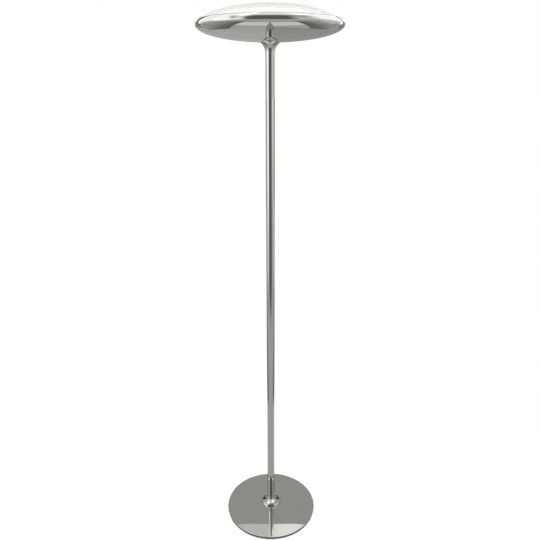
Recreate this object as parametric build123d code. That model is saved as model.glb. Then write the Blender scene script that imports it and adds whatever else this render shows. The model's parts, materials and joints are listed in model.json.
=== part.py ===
from build123d import *

import math
import os

# Torchiere floor lamp, in millimetres, with +Z up. The origin is on the floor under the middle
# of the base, and the rear, where the supply cord would leave, faces +Y.

# Base: a heavy polished plate with a low crown, hollow below, on a thin anti-slip pad
PLATE_RADIUS = 169.0
PLATE_RIM = 10.0
PLATE_CROWN = 13.0
PLATE_EDGE_ROUND = 1.2
PLATE_SEAT_MARGIN = 1.0
RECESS_RADIUS = 115.0
RECESS_DEPTH = 13.0
PAD_THICKNESS = 2.0
PAD_INSET = 4.0
PAD_OPENING_MARGIN = 2.0

# Bolt and washer that pull the pole down onto the plate
BOLT_RADIUS = 5.0
BOLT_ENGAGEMENT = 8.0
BOLT_HEAD_FLATS = 17.0
BOLT_HEAD_HEIGHT = 4.5
BASE_WASHER_RADIUS = 18.0
BASE_WASHER_THICKNESS = 2.0

# Pole: one long tube with a threaded plug pressed into each end
POLE_RADIUS = 14.0
POLE_WALL = 1.5
POLE_LENGTH = 1637.0
LOWER_PLUG_LENGTH = 8.5
UPPER_PLUG_LENGTH = 30.0
SPIGOT_LENGTH = 12.0
SEAM_BEVEL = 0.4
CORD_HOLE_RADIUS = 3.5
CORD_HOLE_MARGIN = 0.7

# Foot dome: a spun cover that slides on the pole and hides its joint with the plate
FOOT_RADIUS = 37.0
FOOT_HEIGHT = 20.0
FOOT_WALL = 1.2

# Cord inlet in the rear of the foot dome
INLET_ANGLE = 28.0
INLET_BORE_RADIUS = 2.75
GROMMET_BODY_RADIUS = 3.9
GROMMET_FLANGE_RADIUS = 5.4
GROMMET_OUTER_FLANGE = 1.5
GROMMET_INNER_FLANGE = 1.4

# Neck: a turned trumpet between the pole and the head
NECK_SLEEVE_LENGTH = 9.5
NECK_FLARE_HEIGHT = 29.4
NECK_TOP_RADIUS = 32.0
NECK_LIP = 0.6
NECK_RECESS_GAP = 0.5

# Head: two half ellipsoids that share one widest circle, polished metal below and opal above
HEAD_RADIUS = 216.0
DISH_DEPTH = 43.5
DISH_WALL = 1.2
DISH_SEAT_MARGIN = 2.0
RIM_RISE = 11.5
DIFFUSER_RISE = 55.0
DIFFUSER_WALL = 3.0
DIFFUSER_CROWN_FLAT = 2.0
RIM_GAP = 0.4
SKIRT_CLEARANCE = 0.6
SEAL_RISE = 3.0
SEAL_DROP = 6.0
SEAL_SHELF = 2.0
SEAL_CLEARANCE = 0.2

# Hollow threaded nipple that clamps the neck, the dish and the lamp cluster together
NIPPLE_RADIUS = 5.0
NIPPLE_BORE_RADIUS = 3.5
NIPPLE_ENGAGEMENT = 20.0
NIPPLE_END = 2.0
DISH_WASHER_RADIUS = 30.0
DISH_WASHER_THICKNESS = 2.0
SPACER_RADIUS = 8.0
LOCK_WASHER_RADIUS = 9.0
LOCK_WASHER_THICKNESS = 1.2
NUT_FLATS = 14.0
NUT_HEIGHT = 4.0

# Lamp cluster: a drum with a lid, which carries three lampholders
LIGHT_COUNT = 3
FIRST_LIGHT_ANGLE = 90.0
LIGHT_RISE = 3.0
CLUSTER_RADIUS = 25.0
CLUSTER_WALL = 1.5
CLUSTER_HEIGHT = 44.0
LID_SKIRT_WALL = 1.4
LID_SKIRT_LENGTH = 5.0
LID_SCREW_RADIUS = 2.0
LID_SCREW_LENGTH = 8.0
LID_SCREW_HEAD_RADIUS = 4.2
LID_SCREW_HEAD_HEIGHT = 2.6
TERMINAL_RADIUS = 13.0
TERMINAL_HEIGHT = 9.0
LEAD_RADIUS = 1.3
LEAD_OFFSET = 7.0
LEAD_BEND_RADIUS = 5.0

# Lampholders for the common 27 mm screw cap
HOLDER_RADIUS = 20.0
HOLDER_LENGTH = 44.0
HOLDER_BACK_WALL = 12.0
HOLDER_BLIND_WALL = 3.0
HOLDER_EDGE_ROUND = 2.0
COLLAR_RADIUS = 9.0
COLLAR_LENGTH = 5.0
SHELL_WALL = 0.8
SHELL_LENGTH = 26.0
CONTACT_RADIUS = 4.0
CONTACT_HEIGHT = 3.0
SOCKET_NUT_HEIGHT = 3.0

# Bulbs with a 60 mm frosted globe
CAP_RADIUS = 13.2
CAP_WALL = 0.8
CAP_LENGTH = 25.0
CAP_CONE = 4.0
CAP_TIP_RADIUS = 5.0
CAP_TIP_HEIGHT = 2.0
CAP_FLOOR = 1.5
CAP_CLEARANCE = 0.3
TIP_GAP = 0.2
GLOBE_RADIUS = 30.0
GLOBE_DISTANCE = 118.0
GLASS_WALL = 1.0
GLASS_NECK_IN_CAP = 12.0
GLASS_NECK_OUT = 2.0

# Fits
THREAD_CLEARANCE = 0.1
PRESS_CLEARANCE = 0.05
HOLE_CLEARANCE = 0.4
SLIDE_CLEARANCE = 0.3

# Heights that follow from the stack of pieces
PLATE_RIM_TOP = PAD_THICKNESS + PLATE_RIM
PLATE_TOP = PLATE_RIM_TOP + PLATE_CROWN
RECESS_TOP = PAD_THICKNESS + RECESS_DEPTH
BOLT_HEAD_TOP = RECESS_TOP - BASE_WASHER_THICKNESS
POLE_TOP = PLATE_TOP + POLE_LENGTH
NECK_FLARE_START = POLE_TOP + NECK_SLEEVE_LENGTH
NECK_FLARE_TOP = NECK_FLARE_START + NECK_FLARE_HEIGHT
DISH_SEAT = NECK_FLARE_TOP + NECK_LIP
EQUATOR = DISH_SEAT + DISH_DEPTH
DISH_FLOOR = DISH_SEAT + DISH_WALL
DISH_WASHER_TOP = DISH_FLOOR + DISH_WASHER_THICKNESS
LIGHT_HEIGHT = EQUATOR + LIGHT_RISE
CLUSTER_BOTTOM = LIGHT_HEIGHT - CLUSTER_HEIGHT / 2
CLUSTER_TOP = LIGHT_HEIGHT + CLUSTER_HEIGHT / 2
CLUSTER_FLOOR = CLUSTER_BOTTOM + CLUSTER_WALL
NUT_BOTTOM = CLUSTER_FLOOR + LOCK_WASHER_THICKNESS
NUT_TOP = NUT_BOTTOM + NUT_HEIGHT
TERMINAL_BOTTOM = CLUSTER_TOP - TERMINAL_HEIGHT

# Radii and ellipse half heights that follow from the sizes above
POLE_BORE_RADIUS = POLE_RADIUS - POLE_WALL
PLUG_RADIUS = POLE_BORE_RADIUS - PRESS_CLEARANCE
DISH_SEAT_RADIUS = NECK_TOP_RADIUS + DISH_SEAT_MARGIN
DISH_HALF_HEIGHT = DISH_DEPTH / math.sqrt(1 - (DISH_SEAT_RADIUS / HEAD_RADIUS) ** 2)
CLUSTER_BORE_RADIUS = CLUSTER_RADIUS - CLUSTER_WALL

# Distances of the lampholder and bulb pieces from the lamp's axis, along each light's own axis
NUT_CORNER_RADIUS = NUT_FLATS / math.sqrt(3)
SOCKET_NUT_END = math.sqrt(CLUSTER_BORE_RADIUS**2 - NUT_CORNER_RADIUS**2) - PRESS_CLEARANCE
SOCKET_NUT_START = SOCKET_NUT_END - SOCKET_NUT_HEIGHT
HOLDER_START = CLUSTER_RADIUS + COLLAR_LENGTH
HOLDER_END = HOLDER_START + HOLDER_LENGTH
SOCKET_FLOOR = HOLDER_START + HOLDER_BACK_WALL
HOLDER_BLIND_END = SOCKET_FLOOR - HOLDER_BLIND_WALL
CONTACT_END = SOCKET_FLOOR + CONTACT_HEIGHT
SHELL_BORE_RADIUS = CAP_RADIUS + CAP_CLEARANCE
SHELL_RADIUS = SHELL_BORE_RADIUS + SHELL_WALL
CAP_TIP_START = CONTACT_END + TIP_GAP
CAP_START = CAP_TIP_START + CAP_TIP_HEIGHT
CAP_END = CAP_START + CAP_LENGTH
GLASS_NECK_RADIUS = CAP_RADIUS - CAP_WALL - THREAD_CLEARANCE


def closed(*points):
    """Closed outline of straight lines, as (radius, height) points."""
    return Polyline(*points, close=True)


def turned(*outline):
    """Solid of revolution about Z from a closed outline of (radius, height) curves."""
    return revolve(Plane.XZ * make_face(outline), Axis.Z)


def ring(inner, outer, bottom, top):
    """Turned ring, washer or tube."""
    return turned(closed((inner, bottom), (outer, bottom), (outer, top), (inner, top)))


def rod(radius, bottom, top):
    """Turned rod about Z."""
    return ring(0, radius, bottom, top)


def hexagon(flats, bottom, top):
    """Six-sided prism about Z, measured across its flats."""
    outline = RegularPolygon(flats / 2, 6, major_radius=False)
    return Pos(0, 0, bottom) * extrude(outline, top - bottom)


def ellipse_radius(height, half_width, half_height):
    """Radius at which an ellipse with these half axes has this height."""
    return half_width * math.sqrt(1 - (height / half_height) ** 2)


def ellipse_height(radius, half_width, half_height):
    """Height at which an ellipse with these half axes has this radius."""
    return half_height * math.sqrt(1 - (radius / half_width) ** 2)


def ellipse_arc(middle, half_width, half_height, from_height, to_height):
    """Arc of an ellipse about the point (0, middle), between two heights measured from it."""
    first = math.degrees(math.asin(from_height / half_height))
    last = math.degrees(math.asin(to_height / half_height))
    return EllipticalCenterArc(
        (0, middle), half_width, half_height, start_angle=first, arc_size=last - first
    )


def light_planes():
    """One plane per light, with its Z axis along the light, pointing out, and its X axis up."""
    planes = []
    for index in range(LIGHT_COUNT):
        angle = math.radians(FIRST_LIGHT_ANGLE + 360 * index / LIGHT_COUNT)
        outward = (math.cos(angle), math.sin(angle), 0)
        planes.append(Plane((0, 0, LIGHT_HEIGHT), x_dir=(0, 0, 1), z_dir=outward))
    return planes


def at_each_light(shape):
    """Group of copies of one piece, one at each light."""
    return Compound(children=[plane * shape for plane in light_planes()])


def base_plate():
    """Plate whose crown starts level beside the foot dome and falls to a low rim."""
    seat = FOOT_RADIUS + PLATE_SEAT_MARGIN
    crown = TangentArc((seat, PLATE_TOP), (PLATE_RADIUS, PLATE_RIM_TOP), tangent=(1, 0))
    other_sides = Polyline(
        (PLATE_RADIUS, PLATE_RIM_TOP),
        (PLATE_RADIUS, PAD_THICKNESS),
        (0, PAD_THICKNESS),
        (0, PLATE_TOP),
        (seat, PLATE_TOP),
    )
    outline = make_face([crown, other_sides])
    rim_corners = outline.vertices().group_by(Axis.X)[-1]
    plate = revolve(Plane.XZ * fillet(rim_corners, PLATE_EDGE_ROUND), Axis.Z)
    recess = rod(RECESS_RADIUS, PAD_THICKNESS, RECESS_TOP)
    bolt_hole = rod(BOLT_RADIUS + HOLE_CLEARANCE, PAD_THICKNESS, PLATE_TOP)
    return plate - recess - bolt_hole


def base_pad():
    opening = RECESS_RADIUS + PAD_OPENING_MARGIN
    return ring(opening, PLATE_RADIUS - PAD_INSET, 0, PAD_THICKNESS)


def base_washer():
    return ring(BOLT_RADIUS + HOLE_CLEARANCE, BASE_WASHER_RADIUS, BOLT_HEAD_TOP, RECESS_TOP)


def base_bolt():
    head = hexagon(BOLT_HEAD_FLATS, BOLT_HEAD_TOP - BOLT_HEAD_HEIGHT, BOLT_HEAD_TOP)
    return head + rod(BOLT_RADIUS, BOLT_HEAD_TOP, PLATE_TOP + BOLT_ENGAGEMENT)


def lower_plug():
    return ring(BOLT_RADIUS + THREAD_CLEARANCE, PLUG_RADIUS, PLATE_TOP, PLATE_TOP + LOWER_PLUG_LENGTH)


def pole_tube():
    tube = turned(
        closed(
            (POLE_BORE_RADIUS, PLATE_TOP),
            (POLE_RADIUS, PLATE_TOP),
            (POLE_RADIUS, POLE_TOP - SEAM_BEVEL),
            (POLE_RADIUS - SEAM_BEVEL, POLE_TOP),
            (POLE_BORE_RADIUS, POLE_TOP),
        )
    )
    hole_height = PLATE_TOP + LOWER_PLUG_LENGTH + CORD_HOLE_MARGIN + CORD_HOLE_RADIUS
    to_the_rear = Plane((0, 0, hole_height), x_dir=(1, 0, 0), z_dir=(0, 1, 0))
    return tube - to_the_rear * rod(CORD_HOLE_RADIUS, 0, POLE_RADIUS + POLE_WALL)


def upper_plug():
    return ring(
        NIPPLE_RADIUS + THREAD_CLEARANCE,
        PLUG_RADIUS,
        POLE_TOP - UPPER_PLUG_LENGTH,
        POLE_TOP + SPIGOT_LENGTH,
    )


def foot_shell(swell, hole_radius):
    """Wall of the foot dome, swollen on both faces, around a hole for the pole."""
    outer = (FOOT_RADIUS + swell, FOOT_HEIGHT + swell)
    inner = (FOOT_RADIUS - FOOT_WALL - swell, FOOT_HEIGHT - FOOT_WALL - swell)
    outer_top = ellipse_height(hole_radius, *outer)
    inner_top = ellipse_height(hole_radius, *inner)
    return turned(
        ellipse_arc(PLATE_TOP, *outer, 0, outer_top),
        Line((hole_radius, PLATE_TOP + outer_top), (hole_radius, PLATE_TOP + inner_top)),
        ellipse_arc(PLATE_TOP, *inner, inner_top, 0),
        Line((inner[0], PLATE_TOP), (outer[0], PLATE_TOP)),
    )


def inlet_plane():
    """Plane on the rear of the foot dome, with its Z axis along the cord inlet, pointing out."""
    angle = math.radians(INLET_ANGLE)
    place = (0, FOOT_RADIUS * math.cos(angle), PLATE_TOP + FOOT_HEIGHT * math.sin(angle))
    outward = (0, math.cos(angle) / FOOT_RADIUS, math.sin(angle) / FOOT_HEIGHT)
    return Plane(place, x_dir=(1, 0, 0), z_dir=outward)


def foot_dome():
    hole = rod(GROMMET_BODY_RADIUS + PRESS_CLEARANCE, -2 * FOOT_WALL, 2 * FOOT_WALL)
    return foot_shell(0, POLE_RADIUS + SLIDE_CLEARANCE) - inlet_plane() * hole


def cord_grommet():
    """Rubber ring whose groove holds the edge of the hole in the foot dome."""
    inner_end = -FOOT_WALL - GROMMET_INNER_FLANGE
    block = inlet_plane() * rod(GROMMET_FLANGE_RADIUS, inner_end, GROMMET_OUTER_FLANGE)
    body = inlet_plane() * rod(GROMMET_BODY_RADIUS, inner_end, GROMMET_OUTER_FLANGE)
    bore = inlet_plane() * rod(INLET_BORE_RADIUS, inner_end, GROMMET_OUTER_FLANGE)
    groove = foot_shell(PRESS_CLEARANCE, POLE_RADIUS) - body
    return block - groove - bore


def neck():
    recess = PLUG_RADIUS + PRESS_CLEARANCE
    recess_top = POLE_TOP + SPIGOT_LENGTH + NECK_RECESS_GAP
    hole = NIPPLE_RADIUS + HOLE_CLEARANCE
    flare = TangentArc(
        (POLE_RADIUS, NECK_FLARE_START), (NECK_TOP_RADIUS, NECK_FLARE_TOP), tangent=(0, 1)
    )
    inside = Polyline(
        (NECK_TOP_RADIUS, NECK_FLARE_TOP),
        (NECK_TOP_RADIUS, DISH_SEAT),
        (hole, DISH_SEAT),
        (hole, recess_top),
        (recess, recess_top),
        (recess, POLE_TOP),
        (POLE_RADIUS - SEAM_BEVEL, POLE_TOP),
        (POLE_RADIUS, POLE_TOP + SEAM_BEVEL),
        (POLE_RADIUS, NECK_FLARE_START),
    )
    return turned(flare, inside)


def dish():
    """Spun shell with a flat seat, which passes its widest circle and turns in to a lip."""
    inner_width = HEAD_RADIUS - DISH_WALL
    inner_below = DISH_HALF_HEIGHT - DISH_WALL
    inner_above = DIFFUSER_RISE - DISH_WALL
    lip = EQUATOR + RIM_RISE
    floor_depth = DISH_DEPTH - DISH_WALL
    floor_radius = ellipse_radius(floor_depth, inner_width, inner_below)
    hole = NIPPLE_RADIUS + HOLE_CLEARANCE
    return turned(
        Line((hole, DISH_SEAT), (DISH_SEAT_RADIUS, DISH_SEAT)),
        ellipse_arc(EQUATOR, HEAD_RADIUS, DISH_HALF_HEIGHT, -DISH_DEPTH, 0),
        ellipse_arc(EQUATOR, HEAD_RADIUS, DIFFUSER_RISE, 0, RIM_RISE),
        Line(
            (ellipse_radius(RIM_RISE, HEAD_RADIUS, DIFFUSER_RISE), lip),
            (ellipse_radius(RIM_RISE, inner_width, inner_above), lip),
        ),
        ellipse_arc(EQUATOR, inner_width, inner_above, RIM_RISE, 0),
        ellipse_arc(EQUATOR, inner_width, inner_below, 0, -floor_depth),
        Polyline((floor_radius, DISH_FLOOR), (hole, DISH_FLOOR), (hole, DISH_SEAT)),
    )


def skirt_radius():
    """Outer radius of the diffuser's skirt, which passes inside the lip of the dish."""
    lip_bore = ellipse_radius(RIM_RISE, HEAD_RADIUS - DISH_WALL, DIFFUSER_RISE - DISH_WALL)
    return lip_bore - SKIRT_CLEARANCE


def diffuser():
    """Opal dome that carries on the curve of the rim, with a skirt that stands on the seal."""
    shoulder = RIM_RISE + RIM_GAP
    shoulder_radius = ellipse_radius(shoulder, HEAD_RADIUS, DIFFUSER_RISE)
    inner = (HEAD_RADIUS - DIFFUSER_WALL, DIFFUSER_RISE - DIFFUSER_WALL)
    skirt_bore = skirt_radius() - DIFFUSER_WALL
    inner_start = ellipse_height(skirt_bore, *inner)
    crown = ellipse_height(DIFFUSER_CROWN_FLAT, HEAD_RADIUS, DIFFUSER_RISE)
    inner_crown = ellipse_height(DIFFUSER_CROWN_FLAT, *inner)
    return turned(
        ellipse_arc(EQUATOR, HEAD_RADIUS, DIFFUSER_RISE, shoulder, crown),
        Polyline(
            (DIFFUSER_CROWN_FLAT, EQUATOR + crown),
            (0, EQUATOR + crown),
            (0, EQUATOR + inner_crown),
            (DIFFUSER_CROWN_FLAT, EQUATOR + inner_crown),
        ),
        ellipse_arc(EQUATOR, *inner, inner_crown, inner_start),
        Polyline(
            (skirt_bore, EQUATOR + inner_start),
            (skirt_bore, EQUATOR + SEAL_RISE),
            (skirt_radius(), EQUATOR + SEAL_RISE),
            (skirt_radius(), EQUATOR + shoulder),
            (shoulder_radius, EQUATOR + shoulder),
        ),
    )


def diffuser_seal():
    """Soft ring that lies in the curve of the dish at its widest circle."""
    width = HEAD_RADIUS - DISH_WALL - SEAL_CLEARANCE
    below = DISH_HALF_HEIGHT - DISH_WALL - SEAL_CLEARANCE
    above = DIFFUSER_RISE - DISH_WALL - SEAL_CLEARANCE
    bore = skirt_radius() - DIFFUSER_WALL - SEAL_SHELF
    return turned(
        ellipse_arc(EQUATOR, width, below, -SEAL_DROP, 0),
        ellipse_arc(EQUATOR, width, above, 0, SEAL_RISE),
        Polyline(
            (ellipse_radius(SEAL_RISE, width, above), EQUATOR + SEAL_RISE),
            (bore, EQUATOR + SEAL_RISE),
            (bore, EQUATOR - SEAL_DROP),
            (ellipse_radius(SEAL_DROP, width, below), EQUATOR - SEAL_DROP),
        ),
    )


def head_nipple():
    return ring(NIPPLE_BORE_RADIUS, NIPPLE_RADIUS, POLE_TOP - NIPPLE_ENGAGEMENT, NUT_TOP + NIPPLE_END)


def dish_washer():
    return ring(NIPPLE_RADIUS + HOLE_CLEARANCE, DISH_WASHER_RADIUS, DISH_FLOOR, DISH_WASHER_TOP)


def cluster_spacer():
    return ring(NIPPLE_RADIUS + HOLE_CLEARANCE, SPACER_RADIUS, DISH_WASHER_TOP, CLUSTER_BOTTOM)


def cluster_lock_washer():
    return ring(NIPPLE_RADIUS + HOLE_CLEARANCE, LOCK_WASHER_RADIUS, CLUSTER_FLOOR, NUT_BOTTOM)


def threaded_nut(bottom, top):
    return hexagon(NUT_FLATS, bottom, top) - rod(NIPPLE_RADIUS + THREAD_CLEARANCE, bottom, top)


def cluster_body():
    """Drum with a hole in its floor and one in its side for each light."""
    drum = rod(CLUSTER_RADIUS, CLUSTER_BOTTOM, CLUSTER_TOP)
    drum -= rod(CLUSTER_BORE_RADIUS, CLUSTER_FLOOR, CLUSTER_TOP)
    drum -= rod(NIPPLE_RADIUS + HOLE_CLEARANCE, CLUSTER_BOTTOM, CLUSTER_FLOOR)
    side_hole = rod(NIPPLE_RADIUS + HOLE_CLEARANCE, 0, CLUSTER_RADIUS + CLUSTER_WALL)
    for plane in light_planes():
        drum -= plane * side_hole
    return drum


def cluster_lid():
    """Lid with a skirt that plugs into the drum."""
    skirt = CLUSTER_BORE_RADIUS - THREAD_CLEARANCE
    hole = LID_SCREW_RADIUS + HOLE_CLEARANCE
    lid_top = CLUSTER_TOP + CLUSTER_WALL
    return turned(
        closed(
            (hole, CLUSTER_TOP),
            (skirt - LID_SKIRT_WALL, CLUSTER_TOP),
            (skirt - LID_SKIRT_WALL, CLUSTER_TOP - LID_SKIRT_LENGTH),
            (skirt, CLUSTER_TOP - LID_SKIRT_LENGTH),
            (skirt, CLUSTER_TOP),
            (CLUSTER_RADIUS, CLUSTER_TOP),
            (CLUSTER_RADIUS, lid_top),
            (hole, lid_top),
        )
    )


def lid_screw():
    lid_top = CLUSTER_TOP + CLUSTER_WALL
    shank = rod(LID_SCREW_RADIUS, lid_top - LID_SCREW_LENGTH, lid_top)
    return shank + rod(LID_SCREW_HEAD_RADIUS, lid_top, lid_top + LID_SCREW_HEAD_HEIGHT)


def terminal_block():
    return ring(LID_SCREW_RADIUS + THREAD_CLEARANCE, TERMINAL_RADIUS, TERMINAL_BOTTOM, CLUSTER_TOP)


def holder_lead():
    """Twin lead from the terminal block down to a light's axis and out to its lampholder."""
    route = FilletPolyline(
        (TERMINAL_BOTTOM - LIGHT_HEIGHT, 0, LEAD_OFFSET),
        (0, 0, LEAD_OFFSET),
        (0, 0, HOLDER_BLIND_END),
        radius=LEAD_BEND_RADIUS,
    )
    return sweep(Plane(route @ 0, z_dir=route % 0) * Circle(LEAD_RADIUS), path=route)


def socket_nipple():
    return ring(NIPPLE_BORE_RADIUS, NIPPLE_RADIUS, SOCKET_NUT_START, HOLDER_BLIND_END)


def lampholder(plane):
    """Porcelain holder with a collar shaped to the drum, a blind hole behind and a socket in front."""
    body = rod(HOLDER_RADIUS, HOLDER_START, HOLDER_END)
    body = fillet(body.edges(), HOLDER_EDGE_ROUND)
    collar = rod(COLLAR_RADIUS, 0, HOLDER_START)
    socket = rod(SHELL_RADIUS + THREAD_CLEARANCE, SOCKET_FLOOR, HOLDER_END)
    blind_hole = rod(NIPPLE_RADIUS + THREAD_CLEARANCE, 0, HOLDER_BLIND_END)
    drum = rod(CLUSTER_RADIUS + PRESS_CLEARANCE, CLUSTER_BOTTOM, CLUSTER_TOP)
    return plane * (body + collar - socket - blind_hole) - drum


def socket_shell():
    return ring(SHELL_BORE_RADIUS, SHELL_RADIUS, SOCKET_FLOOR, SOCKET_FLOOR + SHELL_LENGTH)


def socket_contact():
    return rod(CONTACT_RADIUS, SOCKET_FLOOR, CONTACT_END)


def bulb_tip():
    return rod(CAP_TIP_RADIUS, CAP_TIP_START, CAP_START)


def bulb_cap():
    """Screw cap of a bulb, a cup with a sloped floor."""
    bore = CAP_RADIUS - CAP_WALL
    return turned(
        closed(
            (0, CAP_START),
            (CAP_RADIUS - CAP_CONE, CAP_START),
            (CAP_RADIUS, CAP_START + CAP_CONE),
            (CAP_RADIUS, CAP_END),
            (bore, CAP_END),
            (bore, CAP_START + CAP_CONE + CAP_FLOOR),
            (bore - CAP_CONE, CAP_START + CAP_FLOOR),
            (0, CAP_START + CAP_FLOOR),
        )
    )


def globe_tangent(neck_radius, neck_end, globe_radius):
    """Angle on the globe, from its widest circle, where a cone from the neck's end touches it."""
    back = GLOBE_DISTANCE - neck_end
    reach = math.hypot(neck_radius, back)
    return -math.degrees(math.atan2(back, neck_radius) - math.acos(globe_radius / reach))


def bulb_glass():
    """Hollow envelope: a straight neck, a cone and a round globe."""
    neck_start = CAP_END - GLASS_NECK_IN_CAP
    neck_end = CAP_END + GLASS_NECK_OUT
    bore = GLASS_NECK_RADIUS - GLASS_WALL
    inner_globe = GLOBE_RADIUS - GLASS_WALL
    outer_start = globe_tangent(GLASS_NECK_RADIUS, neck_end, GLOBE_RADIUS)
    inner_start = globe_tangent(bore, neck_end, inner_globe)
    middle = (0, GLOBE_DISTANCE)
    outer = CenterArc(middle, GLOBE_RADIUS, start_angle=outer_start, arc_size=90 - outer_start)
    inner = CenterArc(middle, inner_globe, start_angle=inner_start, arc_size=90 - inner_start)
    neck_wall = Polyline(
        inner @ 0,
        (bore, neck_end),
        (bore, neck_start),
        (GLASS_NECK_RADIUS, neck_start),
        (GLASS_NECK_RADIUS, neck_end),
        outer @ 0,
    )
    return turned(neck_wall, outer, Line(outer @ 1, inner @ 1), inner)


nodes = {
    "base_plate": base_plate(),
    "base_pad": base_pad(),
    "base_washer": base_washer(),
    "base_bolt": base_bolt(),
    "pole_lower_plug": lower_plug(),
    "pole_tube": pole_tube(),
    "pole_upper_plug": upper_plug(),
    "foot_dome": foot_dome(),
    "cord_grommet": cord_grommet(),
    "neck": neck(),
    "dish": dish(),
    "diffuser_seal": diffuser_seal(),
    "diffuser": diffuser(),
    "head_nipple": head_nipple(),
    "dish_washer": dish_washer(),
    "cluster_spacer": cluster_spacer(),
    "cluster_body": cluster_body(),
    "cluster_lock_washer": cluster_lock_washer(),
    "cluster_nut": threaded_nut(NUT_BOTTOM, NUT_TOP),
    "cluster_lid": cluster_lid(),
    "lid_screw": lid_screw(),
    "terminal_block": terminal_block(),
    "holder_leads": at_each_light(holder_lead()),
    "socket_nipples": at_each_light(socket_nipple()),
    "socket_nuts": at_each_light(threaded_nut(SOCKET_NUT_START, SOCKET_NUT_END)),
    "socket_shells": at_each_light(socket_shell()),
    "socket_contacts": at_each_light(socket_contact()),
}
for number, plane in enumerate(light_planes(), start=1):
    nodes[f"lampholder_{number}"] = lampholder(plane)
    nodes[f"bulb_glass_{number}"] = plane * bulb_glass()
    nodes[f"bulb_cap_{number}"] = plane * bulb_cap()
    nodes[f"bulb_tip_{number}"] = plane * bulb_tip()

os.makedirs("parts", exist_ok=True)
for name, shape in nodes.items():
    export_step(shape, f"parts/{name}.step")
print(f"{len(nodes)} pieces, {EQUATOR + DIFFUSER_RISE:.0f} mm tall, inlet {inlet_plane()}")
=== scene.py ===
# %% [markdown]
# # A torchiere floor lamp
# This lesson dresses a floor lamp that throws its light up: a heavy round base, one slim pole and
# a wide, flat head shaped like a pebble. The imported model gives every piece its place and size, in
# metres. Almost everything here was spun, turned or blown, so the main tool is a lathe made of
# Geometry Nodes. The rest is finish: mirror chrome lives from what it reflects.

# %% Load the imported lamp
import json
import math

import bmesh
import bpy
from mathutils import Matrix, Vector


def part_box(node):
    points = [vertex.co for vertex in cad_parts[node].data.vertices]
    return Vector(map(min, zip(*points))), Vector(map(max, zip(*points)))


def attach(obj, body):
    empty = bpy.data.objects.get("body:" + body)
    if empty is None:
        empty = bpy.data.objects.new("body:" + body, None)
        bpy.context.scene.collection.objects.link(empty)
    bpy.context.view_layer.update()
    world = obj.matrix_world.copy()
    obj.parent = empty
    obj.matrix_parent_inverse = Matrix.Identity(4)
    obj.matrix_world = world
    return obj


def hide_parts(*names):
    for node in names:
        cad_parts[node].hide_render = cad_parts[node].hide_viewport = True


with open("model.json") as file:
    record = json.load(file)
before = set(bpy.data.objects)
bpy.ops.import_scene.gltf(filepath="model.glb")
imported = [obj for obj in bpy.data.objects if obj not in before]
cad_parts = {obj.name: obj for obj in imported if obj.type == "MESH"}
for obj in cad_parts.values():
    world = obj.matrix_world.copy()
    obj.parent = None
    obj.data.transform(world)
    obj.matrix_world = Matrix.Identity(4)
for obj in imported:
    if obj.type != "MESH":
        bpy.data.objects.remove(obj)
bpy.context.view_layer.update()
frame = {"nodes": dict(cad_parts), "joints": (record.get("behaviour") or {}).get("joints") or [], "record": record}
nodes = frame["nodes"]
record = frame["record"]

# %% [markdown]
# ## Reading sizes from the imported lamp
# A dressed piece has to sit exactly where its plain one does, so these helpers read heights and
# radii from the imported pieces. A turned piece's points lie on its true surface, so the largest
# distance of a point from the axis is its true radius.

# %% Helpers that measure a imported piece
MM = 0.001
SAME_HEIGHT = 0.01 * MM


def points_of(node):
    return [vertex.co for vertex in nodes[node].data.vertices]


def from_axis(point):
    return math.hypot(point.x, point.y)


def heights_of(node):
    """Heights of a piece's lowest and highest points."""
    low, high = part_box(node)
    return low.z, high.z


def radii_of(node, height=None):
    """Smallest and largest distance from the lamp's axis, of all points or of those at one height."""
    points = points_of(node)
    if height is not None:
        points = [point for point in points if abs(point.z - height) < SAME_HEIGHT]
    distances = [from_axis(point) for point in points]
    return min(distances), max(distances)


POLE_BORE, POLE_RADIUS = radii_of("pole_tube")
HEAD_RADIUS = radii_of("dish")[1]
EQUATOR = max(points_of("dish"), key=from_axis).z
print(f"pole radius {POLE_RADIUS / MM:.1f} mm, head radius {HEAD_RADIUS / MM:.1f} mm")

# %% [markdown]
# ## A short way to write nodes
# The first helper makes a node, sets its options and fills its inputs: a plain value is stored, and
# another node's output is linked. The others make the nodes that come up most. They find their tree
# from the sockets that they work on.

# %% Helpers that make and link nodes
# A Mix node has sockets of every kind under the same names, so these go by number
MIX_VALUES = (0, 2, 3)
MIX_COLOURS = (0, 6, 7)
COLOUR_OUT = 2


def make(tree, kind, inputs=(), **options):
    """Adds a node to a tree, and gives its outputs."""
    made = tree.nodes.new(kind)
    for name, value in options.items():
        setattr(made, name, value)
    for name, value in dict(inputs).items():
        if isinstance(value, bpy.types.NodeSocket):
            tree.links.new(value, made.inputs[name])
        else:
            made.inputs[name].default_value = value
    return made.outputs


def calculate(operation, *values, kind="ShaderNodeMath"):
    """Output of a Math node, in the tree of the sockets that it works on."""
    tree = next(value.id_data for value in values if isinstance(value, bpy.types.NodeSocket))
    return make(tree, kind, enumerate(values), operation=operation)[0]


def whole_number(operation, *values):
    return calculate(operation, *values, kind="FunctionNodeIntegerMath")


def times(first, second):
    return calculate("MULTIPLY", first, second)


def minus(first, second):
    return calculate("SUBTRACT", first, second)


def blend(share, first, second):
    """Output of a Mix node for plain values."""
    return make(share.id_data, "ShaderNodeMix", zip(MIX_VALUES, (share, first, second)))[0]


def rescaled(value, old=(0.0, 1.0), new=(0.0, 1.0), kind="LINEAR"):
    """Output of a Map Range node, which takes values from an old span to a new one."""
    spans = zip(("From Min", "From Max", "To Min", "To Max"), (*old, *new))
    inputs = {"Value": value, **dict(spans)}
    return make(value.id_data, "ShaderNodeMapRange", inputs, interpolation_type=kind)[0]


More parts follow.
